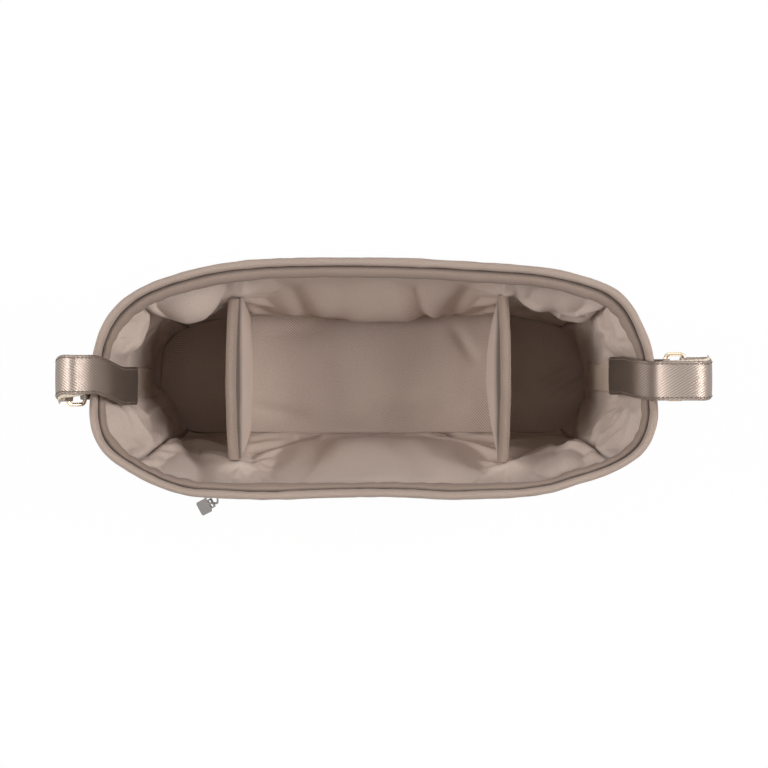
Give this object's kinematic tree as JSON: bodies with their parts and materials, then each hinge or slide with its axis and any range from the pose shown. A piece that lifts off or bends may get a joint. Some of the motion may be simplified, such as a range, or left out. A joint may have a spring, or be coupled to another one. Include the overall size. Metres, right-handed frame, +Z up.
{
  "type": "stroller organizer",
  "caption": "Open padded fabric tub with sewn dividers, a rolled rim, a zipped front pocket and a hook-and-loop strap on a metal ring at each end, to hang on a pushchair handlebar.",
  "frame": {"origin": "middle of the underside of the base", "axes": "+X along the tub towards its right end, -Y towards the zipped front wall, +Z up"},
  "size_m": [0.4121, 0.1652, 0.1647],
  "materials": {
    "shell_fabric": "matte",
    "facing_fabric": "matte",
    "lining_fabric": "satin",
    "padding": "matte",
    "board": "matte",
    "webbing": "satin",
    "hook_and_loop": "matte",
    "ring_metal": "polished",
    "zip_tape": "matte",
    "zip_teeth": "satin",
    "zip_metal": "satin"
  },
  "bodies": {
    "tub": {"outer_base": "shell_fabric", "outer_front": "shell_fabric", "outer_back": "shell_fabric", "outer_left_end": "shell_fabric", "outer_right_end": "shell_fabric", "base_board": "board", "foam_front": "padding", "foam_back": "padding", "foam_left_end": "padding", "foam_right_end": "padding", "lining_base": "lining_fabric", "lining_front": "lining_fabric", "lining_back": "lining_fabric", "lining_left_end": "lining_fabric", "lining_right_end": "lining_fabric", "pocket_sheet": "lining_fabric", "rim_piping": "shell_fabric", "rim_cord": "padding", "rim_facing": "facing_fabric", "divider_left_cover": "lining_fabric", "divider_left_foam": "padding", "divider_left_binding": "facing_fabric", "divider_right_cover": "lining_fabric", "divider_right_foam": "padding", "divider_right_binding": "facing_fabric", "zip_tape_upper": "zip_tape", "zip_tape_lower": "zip_tape", "zip_teeth_upper": "zip_teeth", "zip_teeth_lower": "zip_teeth", "zip_top_stop_upper": "zip_metal", "zip_top_stop_lower": "zip_metal", "zip_bottom_stop": "zip_metal", "tab_left": "webbing", "tab_right": "webbing", "loop_patch_left": "hook_and_loop", "loop_patch_right": "hook_and_loop"},
    "left_ring": {"ring_left": "ring_metal"},
    "left_strap": {"strap_left": "webbing", "hook_strip_left": "hook_and_loop"},
    "right_ring": {"ring_right": "ring_metal"},
    "right_strap": {"strap_right": "webbing", "hook_strip_right": "hook_and_loop"},
    "slider": {"zip_slider": "zip_metal"},
    "puller": {"zip_puller": "zip_metal"}
  },
  "joints": [
    {"name": "ring_left_tilt", "type": "hinge", "parent": "tub", "child": "left_ring", "pos_m": [-0.1829, -0.0065, 0.132], "axis": [0, -1, 0], "range_deg": [0, 50]},
    {"name": "strap_left_open", "type": "hinge", "parent": "left_ring", "child": "left_strap", "pos_m": [-0.19273, -0.0065, 0.13888], "axis": [0, -1, 0], "range_deg": [0, 120]},
    {"name": "ring_right_tilt", "type": "hinge", "parent": "tub", "child": "right_ring", "pos_m": [0.1849, -0.0032, 0.132], "axis": [0, 1, 0], "range_deg": [0, 50]},
    {"name": "strap_right_open", "type": "hinge", "parent": "right_ring", "child": "right_strap", "pos_m": [0.1969, -0.0032, 0.132], "axis": [0, 1, 0], "range_deg": [0, 120]},
    {"name": "zip_slide", "type": "slide", "parent": "tub", "child": "slider", "axis": [1, 0, 0], "range_m": [0, 0.198], "deforming": ["zip_teeth_upper", "zip_teeth_lower"]},
    {"name": "puller_swing", "type": "hinge", "parent": "slider", "child": "puller", "pos_m": [-0.10344, -0.0839, 0.11725], "axis": [1, 0, 0], "range_deg": [-110, 16]}
  ]
}
